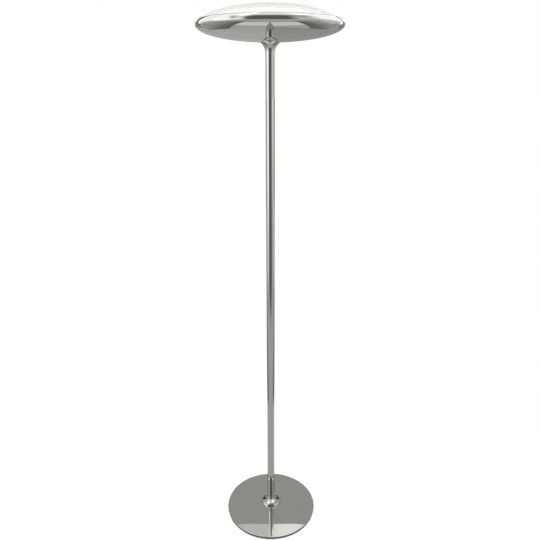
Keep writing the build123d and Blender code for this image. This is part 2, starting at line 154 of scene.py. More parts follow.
def new_group(name, kind, inputs, outputs):
    """New node group with named sockets, and what its input node gives."""
    tree = bpy.data.node_groups.new(name, kind)
    for in_out, kinds in {"INPUT": inputs, "OUTPUT": outputs}.items():
        for socket, socket_kind in kinds.items():
            tree.interface.new_socket(socket, in_out=in_out, socket_type="NodeSocket" + socket_kind)
    return tree, make(tree, "NodeGroupInput")


print("helpers: make, calculate, times, minus, whole_number, blend, rescaled, new_group")

# %% [markdown]
# ## Handling marks
# Wiping leaves faint cloudy patches on whatever people touch, and they show in the roughness more
# than in the colour. This shader group mixes a broad cloud with a fine one, and every finish places
# it with its own scale.

# %% Shader group: handling marks
FINE_CLOUD = 9.0
FINE_SHARE = 0.4
CLOUD_SPAN = (0.45, 0.95)


def handling_marks_group():
    inputs = {"Scale": "Float", "Least": "Float", "Most": "Float"}
    outputs = {"Mask": "Float", "Amount": "Float"}
    tree, given = new_group("Handling marks", "ShaderNodeTree", inputs, outputs)
    place = make(tree, "ShaderNodeTexCoord")["Object"]
    fine_scale = times(given["Scale"], FINE_CLOUD)
    broad = make(tree, "ShaderNodeTexNoise", {"Vector": place, "Scale": given["Scale"]})
    fine = make(tree, "ShaderNodeTexNoise", {"Vector": place, "Scale": fine_scale})
    cloud = calculate("MULTIPLY_ADD", fine["Fac"], FINE_SHARE, broad["Fac"])
    mask = rescaled(cloud, CLOUD_SPAN)
    amount = rescaled(mask, new=(given["Least"], given["Most"]))
    make(tree, "NodeGroupOutput", {"Mask": mask, "Amount": amount})
    return tree


HANDLING_MARKS = handling_marks_group()
print("shader group:", HANDLING_MARKS.name)

# %% [markdown]
# ## Grain
# Foamed, moulded and painted surfaces have a small relief. This group gives a height for a Bump
# node: soft noise for a glaze or a paint, round cells for a foam, or a mix of both.

# %% Shader group: grain


def grain_group():
    inputs = {"Scale": "Float", "Cells": "Float"}
    tree, given = new_group("Grain", "ShaderNodeTree", inputs, {"Height": "Float"})
    place = make(tree, "ShaderNodeTexCoord")["Object"]
    where = {"Vector": place, "Scale": given["Scale"]}
    noise = make(tree, "ShaderNodeTexNoise", where)["Fac"]
    cells = make(tree, "ShaderNodeTexVoronoi", where)["Distance"]
    make(tree, "NodeGroupOutput", {"Height": blend(given["Cells"], noise, cells)})
    return tree


GRAIN = grain_group()
print("shader group:", GRAIN.name)

# %% [markdown]
# ## One recipe for every finish
# Every finish is one Principled shader with its own numbers. The handling marks blend two close
# shades and move the roughness a little, and grain adds relief. What stays the same all over, such
# as metalness or coat, is set on the shader itself.

# %% Helper that mixes a finish
RELIEF = 0.3 * MM
FINISHES = {}


def finish(name, shades, roughness, marks, grain=None, **even):
    """Adds a finish of two close shades; marks is their scale, and grain its (scale, cells, strength)."""
    FINISHES[name] = bpy.data.materials.new(name)
    FINISHES[name].use_nodes = True
    tree = FINISHES[name].node_tree
    shader = tree.nodes["Principled BSDF"]
    for socket, value in even.items():
        shader.inputs[socket.replace("_", " ")].default_value = value
    sizes = {"Scale": marks, "Least": roughness[0], "Most": roughness[1]}
    cloud = make(tree, "ShaderNodeGroup", sizes, node_tree=HANDLING_MARKS)
    colours = zip(MIX_COLOURS, (cloud["Mask"], *[(*shade, 1.0) for shade in shades]))
    mixed = make(tree, "ShaderNodeMix", colours, data_type="RGBA")
    tree.links.new(mixed[COLOUR_OUT], shader.inputs["Base Color"])
    tree.links.new(cloud["Amount"], shader.inputs["Roughness"])
    if grain:
        scale, cells, strength = grain
        sizes = {"Scale": scale, "Cells": cells}
        relief = make(tree, "ShaderNodeGroup", sizes, node_tree=GRAIN)["Height"]
        height = {"Height": relief, "Strength": strength, "Distance": RELIEF}
        bump = make(tree, "ShaderNodeBump", height)
        tree.links.new(bump["Normal"], shader.inputs["Normal"])


print("recipe: finish")

# %% [markdown]
# ## The metals
# Bright chrome is nearly a mirror, neutral and a little darker than silver, with a breath of haze
# where a cloth has passed. The hidden hardware is zinc plated, which is duller and greyer. Contacts
# are brass and bulb caps nickel.

# %% Metal finishes
METALS = {
    "polished_chrome": ([(0.68, 0.685, 0.677), (0.66, 0.665, 0.657)], (0.012, 0.045), 6.0),
    "zinc_steel": ([(0.60, 0.61, 0.63), (0.50, 0.51, 0.53)], (0.30, 0.46), 70.0, (900.0, 0.0, 0.2)),
    "contact_brass": ([(0.78, 0.60, 0.29), (0.64, 0.46, 0.20)], (0.25, 0.42), 90.0),
    "cap_nickel": ([(0.70, 0.69, 0.66), (0.60, 0.59, 0.56)], (0.20, 0.34), 80.0),
}
for name, recipe in METALS.items():
    finish(name, *recipe, Metallic=1.0)
print("metals:", sorted(FINISHES))

# %% [markdown]
# ## The white finishes
# The dome is opal acrylic: light that enters it spreads a little before it leaves, which subsurface
# scattering gives. The dish is lacquered white inside, the lampholders are glazed porcelain and the
# bulbs are frosted.

# %% White finishes
OPAL_DEPTH = 3 * MM


def opal(weight):
    """Settings that let light spread inside a white stuff."""
    return {"Subsurface_Weight": weight, "Subsurface_Scale": OPAL_DEPTH}


acrylic = [(0.955, 0.95, 0.935), (0.94, 0.935, 0.92)]
finish("opal_acrylic", acrylic, (0.16, 0.24), 8.0, IOR=1.49, **opal(0.2))
lacquer = [(0.86, 0.86, 0.85), (0.83, 0.83, 0.82)]
finish("white_lacquer", lacquer, (0.24, 0.34), 14.0, grain=(800.0, 0.0, 0.12))
porcelain = [(0.86, 0.85, 0.82), (0.82, 0.81, 0.775)]
glaze = {"Coat_Weight": 0.5, "Coat_Roughness": 0.05}
finish("white_porcelain", porcelain, (0.12, 0.22), 45.0, grain=(260.0, 0.0, 0.08), **glaze)
frosting = [(0.93, 0.93, 0.91), (0.90, 0.90, 0.885)]
finish("frosted_glass", frosting, (0.26, 0.36), 35.0, **opal(0.15))
print("whites done, finishes so far:", len(FINISHES))

# %% [markdown]
# ## The soft finishes
# The pad under the base is black foam, the ring round the cord inlet is black rubber, and the ring
# that the dome stands on is white silicone. The leads wear a heat-proof sleeve.

# %% Soft finishes
foam = [(0.028, 0.028, 0.03), (0.05, 0.05, 0.052)]
finish("anti_slip_foam", foam, (0.82, 0.95), 110.0, grain=(650.0, 0.7, 0.9))
rubber = [(0.018, 0.018, 0.019), (0.03, 0.03, 0.031)]
finish("black_rubber", rubber, (0.48, 0.64), 180.0, grain=(1400.0, 0.0, 0.25))
silicone = [(0.82, 0.82, 0.80), (0.77, 0.77, 0.745)]
finish("white_silicone", silicone, (0.40, 0.52), 60.0, **opal(0.1))
sleeve = [(0.80, 0.79, 0.75), (0.70, 0.69, 0.65)]
finish("lead_sleeve", sleeve, (0.55, 0.7), 300.0, grain=(2500.0, 0.3, 0.4))
print("all finishes:", len(FINISHES))

# %% [markdown]
# ## Dressing the pieces that stay
# The imported record says which finish each piece has. Small fasteners and contacts keep their imported
# shape and only need their material. The next cells turn the other pieces afresh.

# %% Put the finishes on the imported pieces
for part in record["subparts"]:
    for used in nodes[part["node"]].material_slots:
        used.material = FINISHES[part["material_slot"]]
SLOT_OF = {part["node"]: part["material_slot"] for part in record["subparts"]}
print("dressed nodes:", len(SLOT_OF))

# %% [markdown]
# ## A lathe of Geometry Nodes
# A turned piece is one outline spun round an axis. The tree reads the (radius, height) points of an
# outline, lays out a grid with one row per point and one column per step round, and swings each
# column to its angle. Merging by distance closes the seam and the poles.

# %% Geometry Nodes: turned piece
MERGE = 0.002 * MM


def turned_grid(tree, steps, rows):
    """Mesh of a grid, with the row of each of its points and the angle of its column."""
    counts = {"Vertices X": whole_number("ADD", steps, 1), "Vertices Y": rows}
    grid = make(tree, "GeometryNodeMeshGrid", counts)["Mesh"]
    index = make(tree, "GeometryNodeInputIndex")["Index"]
    column = whole_number("DIVIDE_FLOOR", index, rows)
    turn = times(calculate("DIVIDE", column, steps), math.tau)
    return grid, whole_number("MODULO", index, rows), turn


def end_tree(tree, mesh, point, turn, material):
    """Swings the grid's points to their angles, closes the seams and sets the material."""
    swing = {"Vector": point, "Angle": turn}
    swung = make(tree, "ShaderNodeVectorRotate", swing, rotation_type="Z_AXIS")["Vector"]
    for kind, inputs in {
        "SetPosition": {"Position": swung},
        "MergeByDistance": {"Distance": MERGE},
        "SetShadeSmooth": {},
        "RealizeInstances": {},
        "SetMaterial": {"Material": material},
    }.items():
        inputs["Geometry"] = mesh
        mesh = make(tree, "GeometryNode" + kind, inputs)["Geometry"]
    make(tree, "NodeGroupOutput", {"Piece": mesh})


def lathe_tree():
    inputs = {"Outline": "Geometry", "Steps": "Int", "Finish": "Material"}
    tree, given = new_group("Turned piece", "GeometryNodeTree", inputs, {"Piece": "Geometry"})
    outline = {"Geometry": given["Outline"]}
    rows = make(tree, "GeometryNodeAttributeDomainSize", outline)["Point Count"]
    grid, row, turn = turned_grid(tree, given["Steps"], rows)
    position = make(tree, "GeometryNodeInputPosition")["Position"]
    wanted = {**outline, "Value": position, "Index": row}
    point = make(tree, "GeometryNodeSampleIndex", wanted, data_type="FLOAT_VECTOR")
    end_tree(tree, grid, point["Value"], turn, given["Finish"])
    return tree


LATHE = lathe_tree()
print("geometry tree:", LATHE.name, "with", len(LATHE.nodes), "nodes")

# %% [markdown]
# ## From a tree to a plain mesh
# A modifier's inputs are set by their identifiers, before the piece is first evaluated. Then the
# result becomes an ordinary mesh, the modifier goes, and the faces are turned outwards. Edges
# sharper than a set angle stay crisp.

# %% Helpers that finish a mesh
CRISP_ANGLE = math.radians(32)


def plain_mesh(piece):
    """Applies a piece's modifiers, so that it holds a plain mesh with its faces pointing out."""
    graph = bpy.context.evaluated_depsgraph_get()
    mesh = bpy.data.meshes.new_from_object(piece.evaluated_get(graph), depsgraph=graph)
    piece.modifiers.clear()
    piece.data = mesh
    shell = bmesh.new()
    shell.from_mesh(mesh)
    bmesh.ops.recalc_face_normals(shell, faces=shell.faces)
    shell.to_mesh(mesh)
    shell.free()
    mesh.set_sharp_from_angle(angle=CRISP_ANGLE)
    return piece


def new_piece(name, data):
    piece = bpy.data.objects.new(name, data)
    bpy.context.scene.collection.objects.link(piece)
    return piece


def grown(name, mesh, tree, inputs):
    """New piece that a geometry tree makes from a mesh and its named inputs."""
    piece = new_piece(name, mesh)
    modifier = piece.modifiers.new("grow", "NODES")
    modifier.node_group = tree
    for item in tree.interface.items_tree:
        if item.in_out == "INPUT" and item.name in inputs:
            modifier[item.identifier] = inputs[item.name]
    return plain_mesh(piece)


def settle(piece, body, *stands_for):
    """Hands a finished piece to a body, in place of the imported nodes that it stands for."""
    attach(piece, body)
    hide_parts(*stands_for)
    print(f"{piece.name}: {len(piece.data.polygons)} faces, rides on {body}")


print("helpers: plain_mesh, new_piece, grown, settle")

# %% [markdown]
# ## Outlines
# An outline is a list of (radius, height) corners. A third number rounds a corner off, because a
# chrome edge shows only where its rounding catches light. Beside each rounding goes one more point,
# so that the flat shades flat. Ellipses and circles are runs of points.

# %% Helpers that draw outlines
ROUND_STEPS = 5
FLAT_MARGIN = 1.5


def rounded_corner(before, corner, after):
    """Points that round one corner off, with one more on each straight beside it."""
    here = Vector(corner[:2])
    back = (Vector(before[:2]) - here).normalized()
    on = (Vector(after[:2]) - here).normalized()
    half = back.angle(on) / 2
    straight = corner[2] / math.tan(half)
    middle = here + (back + on).normalized() * corner[2] / math.sin(half)
    start = here + back * straight - middle
    sweep = start.angle_signed(here + on * straight - middle)
    points = [here + back * straight * FLAT_MARGIN]
    for step in range(ROUND_STEPS + 1):
        turn = Matrix.Rotation(-sweep * step / ROUND_STEPS, 2)
        points.append(middle + turn @ start)
    points.append(here + on * straight * FLAT_MARGIN)
    return [tuple(point) for point in points]


def outline_of(corners):
    """Closed outline from corners of (radius, height) or (radius, height, rounding)."""
    points = []
    for index, corner in enumerate(corners):
        if len(corner) == 2:
            points.append(corner)
        else:
            after = corners[(index + 1) % len(corners)]
            points.extend(rounded_corner(corners[index - 1], corner, after))
    return points + points[:1]


def ellipse_run(middle, half_axes, first, last, steps):
    """Points on an ellipse between two heights, measured from its middle."""
    width, height = half_axes
    start, end = (math.asin(value / height) for value in (first, last))
    angles = [start + (end - start) * step / steps for step in range(steps + 1)]
    return [(width * math.cos(angle), middle + height * math.sin(angle)) for angle in angles]


def ellipse_height(radius, half_axes):
    return half_axes[1] * math.sqrt(1 - (radius / half_axes[0]) ** 2)


def ellipse_radius(height, half_axes):
    return half_axes[0] * math.sqrt(1 - (height / half_axes[1]) ** 2)


def within(half_axes, gap):
    """Half axes of an ellipse that lies inside another one."""
    return half_axes[0] - gap, half_axes[1] - gap


def arc_run(start, heading, end, steps):
    """Points on the circle that leaves its start in one heading and passes through its end."""
    start, heading, chord = Vector(start), Vector(heading), Vector(end) - Vector(start)
    turn = heading.angle_signed(chord)
    width = chord.length / math.sin(abs(turn))
    points = []
    for step in range(steps + 1):
        part = turn * step / steps
        points.append(start + Matrix.Rotation(-part, 2) @ heading * width * math.sin(abs(part)))
    return [tuple(point) for point in points]


print("helpers: outline_of, ellipse_run, ellipse_height, ellipse_radius, within, arc_run")

# %% Helper that turns an outline


def turned(name, node, corners, steps, place=None):
    """Spins an outline into a piece with a node's finish, about Z or about the Z axis of a place."""
    points = outline_of(corners)
    line = bpy.data.meshes.new(name)
    edges = [(index, index + 1) for index in range(len(points) - 1)]
    line.from_pydata([(radius, 0, height) for radius, height in points], edges, [])
    piece = grown(name, line, LATHE, {"Steps": steps, "Finish": FINISHES[SLOT_OF[node]]})
    if place:
        piece.data.transform(place)
    return piece


print("helper: turned")

# %% [markdown]
# ## Drilling
# Two turned pieces have a round hole in their side, and one has a slot. A Boolean cuts them, as a
# drill or a saw would after turning, and the cutter is deleted afterwards.

# %% Helpers that cut
DRILL_SIDES = 48


def axis_place(origin, direction):
    """Matrix that puts a piece made along Z onto an axis through a point."""
    turn = Vector(direction).to_track_quat("Z", "Y").to_matrix().to_4x4()
    return Matrix.Translation(origin) @ turn


def cut_away(piece, shape):
    """Cuts a shape out of a piece."""
    mesh = bpy.data.meshes.new("cutter")
    shape.to_mesh(mesh)
    shape.free()
    cutter = new_piece("cutter", mesh)
    cut = piece.modifiers.new("cut", "BOOLEAN")
    cut.object = cutter
    cut.solver = "EXACT"
    plain_mesh(piece)
    bpy.data.objects.remove(cutter)
    bpy.data.meshes.remove(mesh)


def drill(piece, radius, length, place):
    rod = bmesh.new()
    sizes = {"radius1": radius, "radius2": radius, "depth": length, "segments": DRILL_SIDES}
    bmesh.ops.create_cone(rod, cap_ends=True, matrix=place, **sizes)
    cut_away(piece, rod)


print("helpers: axis_place, cut_away, drill")

# %% [markdown]
# ## The base plate
# A heavy disc carries the lamp by its weight. It has a low crown, a little over a centimetre higher
# at the pole than at the rim. The crown shows in what it mirrors: the pole tapers in it, and a wide
# piece of wall fits into it. The broken edge draws the fine bright and dark lines round the plate.

# %% Turn the base plate
ROUND_MANY = 256
CROWN_STEPS = 60
PLATE_RIM = 10 * MM
PLATE_EDGE = 1.2 * MM

plate_bottom, plate_top = heights_of("base_plate")
plate_radius = radii_of("base_plate")[1]
bolt_hole, plate_seat = radii_of("base_plate", plate_top)
recess_radius = radii_of("base_plate", plate_bottom)[0]
recess_top = heights_of("base_washer")[1]
rim_top = plate_bottom + PLATE_RIM
crown = arc_run((plate_seat, plate_top), (1, 0), (plate_radius, rim_top), CROWN_STEPS)
corners = [
    (bolt_hole, plate_top), *crown[:-1],
    (plate_radius, rim_top, PLATE_EDGE), (plate_radius, plate_bottom, PLATE_EDGE),
    (recess_radius, plate_bottom), (recess_radius, recess_top), (bolt_hole, recess_top),
]
plate = turned("polished_plate", "base_plate", corners, ROUND_MANY)
settle(plate, "stand", "base_plate")

# %% [markdown]
# ## The pole
# One drawn tube. At its top a fine bevel meets the same bevel on the neck, and the two make the thin
# groove where the lamp unscrews. Low in its rear is the hole for the cord, under the foot dome.

# %% Turn and drill the pole
ROUND_SOME = 128
SEAM_BEVEL = 0.4 * MM
CORD_HOLE_RADIUS = 3.5 * MM
CORD_HOLE_RISE = 4.2 * MM
HOLE_ROWS = 8 * MM

pole_bottom, pole_top = heights_of("pole_tube")
hole_height = heights_of("pole_lower_plug")[1] + CORD_HOLE_RISE
hole_rows = hole_height - HOLE_ROWS, hole_height + HOLE_ROWS
corners = [
    (POLE_BORE, pole_bottom), (POLE_RADIUS, pole_bottom),
    *[(POLE_RADIUS, height) for height in hole_rows],
    (POLE_RADIUS, pole_top - 2 * SEAM_BEVEL), (POLE_RADIUS, pole_top - SEAM_BEVEL),
    (POLE_RADIUS - SEAM_BEVEL, pole_top), (POLE_BORE, pole_top),
    *[(POLE_BORE, height) for height in reversed(hole_rows)],
]
pole = turned("polished_pole", "pole_tube", corners, ROUND_SOME)
rear = axis_place((0, POLE_RADIUS, hole_height), (0, 1, 0))
drill(pole, CORD_HOLE_RADIUS, POLE_RADIUS, rear)
settle(pole, "stand", "pole_tube")

# %% [markdown]
# ## The foot dome
# A small spun cover slides down the pole and hides its joint with the plate. It is half an ellipsoid
# with a thin wall, open below. Its top edge stays just clear of the pole.

# %% Turn and drill the foot dome
FOOT_EDGE = 0.3 * MM
FOOT_STEPS_OUT, FOOT_STEPS_IN = 48, 32
INLET_HOLE_RADIUS = 3.95 * MM
INLET_DRILL_WALLS = 4

foot_base, foot_top = heights_of("foot_dome")
foot_hole, foot_radius = radii_of("foot_dome")
foot_wall = foot_radius - radii_of("foot_dome", foot_base)[0]
foot_rise = (foot_top - foot_base) / math.sqrt(1 - (foot_hole / foot_radius) ** 2)
foot_outside = (foot_radius, foot_rise)
foot_inside = within(foot_outside, foot_wall)
outside_top = ellipse_height(foot_hole, foot_outside)
inside_top = ellipse_height(foot_hole, foot_inside)
corners = [
    *ellipse_run(foot_base, foot_outside, 0, outside_top, FOOT_STEPS_OUT)[:-1],
    (foot_hole, foot_base + outside_top, FOOT_EDGE),
    *ellipse_run(foot_base, foot_inside, inside_top, 0, FOOT_STEPS_IN),
]
foot = turned("polished_foot_dome", "foot_dome", corners, ROUND_MANY)

inlet = next(mount for mount in record["mounts"] if mount["name"] == "cord_inlet")
inlet_place = axis_place(inlet["pos_m"], inlet["axis"])
drill(foot, INLET_HOLE_RADIUS, INLET_DRILL_WALLS * foot_wall, inlet_place)
settle(foot, "foot_cover", "foot_dome")

# %% [markdown]
# ## The cord inlet
# A grooved rubber ring snaps into the hole in the foot dome, so that the metal can't cut the cord.
# It is turned about the axis of the hole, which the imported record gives.

# %% Turn the rubber ring
GROMMET_ROUND = 0.6 * MM
GROMMET_SEAT = -0.7 * MM
GROMMET_BACK = -1.9 * MM
GROMMET_FIT = 0.05 * MM
ROUND_FEW = 64

bore = inlet["dims"]["r_mm"] * MM
to_inlet = inlet_place.inverted()
ring_points = [to_inlet @ point for point in points_of("cord_grommet")]
grommet_start = min(point.z for point in ring_points)
grommet_end = max(point.z for point in ring_points)
flange = max(from_axis(point) for point in ring_points)
groove_floor = INLET_HOLE_RADIUS - GROMMET_FIT
corners = [
    (bore, grommet_start), (flange, grommet_start, GROMMET_ROUND / 2),
    (flange, GROMMET_BACK), (groove_floor, GROMMET_BACK),
    (groove_floor, GROMMET_SEAT), (flange, GROMMET_SEAT),
    (flange, grommet_end, GROMMET_ROUND), (bore, grommet_end, GROMMET_ROUND),
]
grommet = turned("inlet_ring", "cord_grommet", corners, ROUND_FEW, inlet_place)
settle(grommet, "foot_cover", "cord_grommet")

# %% [markdown]
# ## The neck
# A turned trumpet widens from the pole to the dish along an arc. Chrome on such a hollow curve
# squeezes the whole room into a few bright bands, so it needs many steps.

# %% Turn the neck
FLARE_STEPS = 48
FLARE_HEIGHT = 29.4 * MM
NECK_LIP = 0.6 * MM
NECK_EDGE = 0.2 * MM

neck_bottom, neck_top = heights_of("neck")
neck_hole, neck_radius = radii_of("neck")
flare_top = neck_top - NECK_LIP
flare_start = (POLE_RADIUS, flare_top - FLARE_HEIGHT)
corners = [
    (POLE_RADIUS - SEAM_BEVEL, neck_bottom),
    (POLE_RADIUS, neck_bottom + SEAM_BEVEL), (POLE_RADIUS, neck_bottom + 2 * SEAM_BEVEL),
    *arc_run(flare_start, (0, 1), (neck_radius, flare_top), FLARE_STEPS)[:-1],
    (neck_radius, flare_top, NECK_EDGE), (neck_radius, neck_top),
    (neck_hole, neck_top), (neck_hole, neck_bottom),
]
neck = turned("polished_neck", "neck", corners, ROUND_SOME)
settle(neck, "stand", "neck")

# %% [markdown]
# ## The dish
# The lower half of the pebble is one spun sheet: half of a flat ellipsoid below the widest circle,
# and a narrow rim above it that already follows the curve of the dome. It is chromed outside and
# lacquered white inside.

# %% Turn the dish
DISH_WALL = 1.2 * MM
LIP_ROUND = 0.45 * MM
BOWL_STEPS_OUT, BOWL_STEPS_IN, RIM_STEPS = 110, 60, 10

dish_seat, dish_top = heights_of("dish")
dish_depth, lip = EQUATOR - dish_seat, dish_top - EQUATOR
dish_hole = radii_of("dish")[0]
seat_radius = radii_of("dish", dish_seat)[1]
dome_rise = heights_of("diffuser")[1] - EQUATOR
below_rise = dish_depth / math.sqrt(1 - (seat_radius / HEAD_RADIUS) ** 2)
below, above = (HEAD_RADIUS, below_rise), (HEAD_RADIUS, dome_rise)
below_in, above_in = within(below, DISH_WALL), within(above, DISH_WALL)
dish_floor = dish_seat + DISH_WALL

corners = [
    (dish_hole, dish_seat),
    *ellipse_run(EQUATOR, below, -dish_depth, 0, BOWL_STEPS_OUT),
    *ellipse_run(EQUATOR, above, 0, lip, RIM_STEPS)[1:-1],
    *[(ellipse_radius(lip, side), dish_top, LIP_ROUND) for side in (above, above_in)],
    *ellipse_run(EQUATOR, above_in, lip, 0, RIM_STEPS)[1:],
    *ellipse_run(EQUATOR, below_in, 0, dish_floor - EQUATOR, BOWL_STEPS_IN)[1:],
    (dish_hole, dish_floor),
]
dish = turned("polished_dish", "dish", corners, ROUND_MANY)

# %% Lacquer the inside of the dish
dish.data.materials.append(FINISHES["white_lacquer"])
head_middle = Vector((0, 0, EQUATOR))
lacquered = 0
for face in dish.data.polygons:
    if face.normal.dot(face.center - head_middle) < 0:
        face.material_index = 1
        lacquered += 1
print("lacquered faces:", lacquered)
settle(dish, "stand", "dish")

# %% [markdown]
# ## The opal dome
# The upper half carries on the curve of the rim with a gap as thin as a card. A skirt drops inside
# the lip, so the dome lifts straight off.

# %% Turn the opal dome
RIM_GAP = 0.4 * MM
DOME_WALL = 3.0 * MM
DOME_EDGE = 0.5 * MM
DOME_STEPS_OUT, DOME_STEPS_IN = 90, 50

skirt_bottom = heights_of("diffuser")[0]
skirt_bore, skirt_radius = radii_of("diffuser", skirt_bottom)
shoulder = lip + RIM_GAP
dome_in = within(above, DOME_WALL)
skirt_top = ellipse_height(skirt_bore, dome_in)
corners = [
    (ellipse_radius(shoulder, above), EQUATOR + shoulder, DOME_EDGE),
    *ellipse_run(EQUATOR, above, shoulder, dome_rise, DOME_STEPS_OUT)[1:-1],
    (0, EQUATOR + dome_rise), (0, EQUATOR + dome_in[1]),
    *ellipse_run(EQUATOR, dome_in, dome_in[1], skirt_top, DOME_STEPS_IN)[1:],
    (skirt_bore, skirt_bottom, DOME_EDGE), (skirt_radius, skirt_bottom, DOME_EDGE),
    (skirt_radius, EQUATOR + shoulder),
]
dome = turned("opal_dome", "diffuser", corners, ROUND_MANY)
settle(dome, "diffuser_dome", "diffuser")

# %% [markdown]
# ## The ring under the dome
# The dome stands on a soft silicone ring in the fold of the dish. Its outer side follows the dish,
# and its inner edges are moulded round.

# %% Turn the silicone ring
RING_ROUND = 1.2 * MM
RING_GAP = 0.2 * MM
RING_STEPS_BELOW, RING_STEPS_ABOVE = 8, 4

ring_bottom, ring_top = heights_of("diffuser_seal")
ring_bore = radii_of("diffuser_seal")[0]
ring_below, ring_above = within(below_in, RING_GAP), within(above_in, RING_GAP)
corners = [
    *ellipse_run(EQUATOR, ring_below, ring_bottom - EQUATOR, 0, RING_STEPS_BELOW),
    *ellipse_run(EQUATOR, ring_above, 0, ring_top - EQUATOR, RING_STEPS_ABOVE)[1:],
    (ring_bore, ring_top, RING_ROUND), (ring_bore, ring_bottom, RING_ROUND),
]
ring = turned("silicone_ring", "diffuser_seal", corners, ROUND_MANY)
settle(ring, "stand", "diffuser_seal")

# %% [markdown]
# ## The lamp cluster
# Under the dome, a lacquered drum on the central nipple carries three lampholders. Its lid is held
# by one screw.

# %% Turn the drum and its lid
DRUM_EDGE = 1.5 * MM
DRUM_WALL = 1.5 * MM
LID_EDGE = 1.0 * MM

drum_bottom, drum_top = heights_of("cluster_body")
drum_hole, drum_radius = radii_of("cluster_body")
drum_floor, drum_inside = drum_bottom + DRUM_WALL, drum_radius - DRUM_WALL
corners = [
    (drum_hole, drum_bottom), (drum_radius, drum_bottom, DRUM_EDGE), (drum_radius, drum_top),
    (drum_inside, drum_top), (drum_inside, drum_floor), (drum_hole, drum_floor),
]
drum = turned("cluster_drum", "cluster_body", corners, ROUND_SOME)
settle(drum, "stand", "cluster_body")

lid_bottom, lid_top = heights_of("cluster_lid")
lid_hole, lid_radius = radii_of("cluster_lid")
skirt_in, skirt_out = radii_of("cluster_lid", lid_bottom)
corners = [
    (lid_hole, lid_top), (lid_radius, lid_top, LID_EDGE), (lid_radius, drum_top),
    (skirt_out, drum_top), (skirt_out, lid_bottom), (skirt_in, lid_bottom),
    (skirt_in, drum_top), (lid_hole, drum_top),
]
lid = turned("drum_lid", "cluster_lid", corners, ROUND_SOME)
settle(lid, "stand", "cluster_lid")

# %% [markdown]
# ## The lid screw
# Its head is a low dome with a slot. The dome is turned, and a thin box cuts the slot, as a slitting
# saw does.

# %% Turn and slot the lid screw
SLOT_WIDTH = 1.2 * MM
SLOT_DEPTH = 1.3 * MM
SAW_LENGTH = 20 * MM
HEAD_SIDE = 0.35
HEAD_STEPS = 12

screw_bottom, screw_top = heights_of("lid_screw")
screw_radius = radii_of("lid_screw", screw_bottom)[1]
head_radius = radii_of("lid_screw")[1]
head_side = lid_top + HEAD_SIDE * (screw_top - lid_top)
head_dome = (head_radius, screw_top - head_side)
corners = [
    (0, screw_bottom), (screw_radius, screw_bottom),
    (screw_radius, lid_top), (head_radius, lid_top),
    *ellipse_run(head_side, head_dome, 0, head_dome[1], HEAD_STEPS)[:-1],
    (0, screw_top),
]
screw = turned("slotted_lid_screw", "lid_screw", corners, ROUND_FEW)

saw = bmesh.new()
saw_size = Matrix.Diagonal((SAW_LENGTH, SLOT_WIDTH, 2 * SLOT_DEPTH, 1))
bmesh.ops.create_cube(saw, size=1.0, matrix=Matrix.Translation((0, 0, screw_top)) @ saw_size)
cut_away(screw, saw)
settle(screw, "stand", "lid_screw")

# %% [markdown]
# ## Lampholders and bulbs point outwards
# Each light lies on its own axis, straight out from the drum. So its pieces are turned about Z, with
# the height standing for the distance from the lamp's axis, and then laid over onto the light's
# axis, which the bulb's joint gives.

# %% Find the lights
lights = [joint for joint in frame["joints"] if joint["type"] == "hinge"]
light_places = [axis_place(joint["pos_m"], joint["axis"]) for joint in lights]
LIGHT_HEIGHT = lights[0]["pos_m"][2]


def reach_of(node):
    """Nearest and farthest distance of a piece of the first light, along its axis."""
    low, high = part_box(node)
    return low.y, high.y


def width_of(node):
    """Radius of a piece of the first light, about its axis."""
    return max(math.hypot(point.x, point.z - LIGHT_HEIGHT) for point in points_of(node))


print("lights:", len(lights), "at height", LIGHT_HEIGHT)

# %% [markdown]
# ## The lampholders
# The body is a plain porcelain barrel with two grip grooves and a wide mouth. A narrow collar joins
# it to the drum.

# %% Turn the lampholders
COLLAR_RADIUS = 9.0 * MM
COLLAR_LENGTH = 5.0 * MM
SOCKET_WALL = 5.6 * MM
GROOVE_DEPTH = 0.8 * MM
GROOVE_HALF = 1.0 * MM
GROOVE_ROUND = 0.2 * MM
BARREL_ROUND = 2.0 * MM
MOUTH_ROUND = 1.0 * MM
GROOVE_SHARES = (0.28, 0.78)

barrel_start, barrel_end = drum_radius + COLLAR_LENGTH, reach_of("lampholder_1")[1]
barrel_radius = width_of("lampholder_1")
socket_radius = barrel_radius - SOCKET_WALL
first_shell = [point for point in points_of("socket_shells") if abs(point.x) < socket_radius]
socket_floor = min(point.y for point in first_shell if point.y > 0)
collar_start = math.sqrt(drum_radius**2 - COLLAR_RADIUS**2)
corners = [
    (0, collar_start), (COLLAR_RADIUS, collar_start), (COLLAR_RADIUS, barrel_start),
    (barrel_radius, barrel_start, BARREL_ROUND),
]
for share in GROOVE_SHARES:
    groove = barrel_start + share * (barrel_end - barrel_start)
    corners += [(barrel_radius, groove - GROOVE_HALF, GROOVE_ROUND)]
    corners += [(barrel_radius - GROOVE_DEPTH, groove, GROOVE_ROUND)]
    corners += [(barrel_radius, groove + GROOVE_HALF, GROOVE_ROUND)]
corners += [(barrel_radius, barrel_end, BARREL_ROUND), (socket_radius, barrel_end, MOUTH_ROUND)]
corners += [(socket_radius, socket_floor), (0, socket_floor)]
for number, place in enumerate(light_places, start=1):
    node = f"lampholder_{number}"
    holder = turned(f"porcelain_holder_{number}", node, corners, ROUND_SOME, place)
    settle(holder, "stand", node)

# %% [markdown]
# ## The bulbs
# Each bulb is a round globe that runs into a straight neck over a cone. The cone touches the globe
# without a kink, so the place where they meet comes from a tangent.

# %% Turn the bulbs
GLOBE_STEPS = 48
NECK_OUT = 2.0 * MM
GLASS_NECK = 12.3 * MM

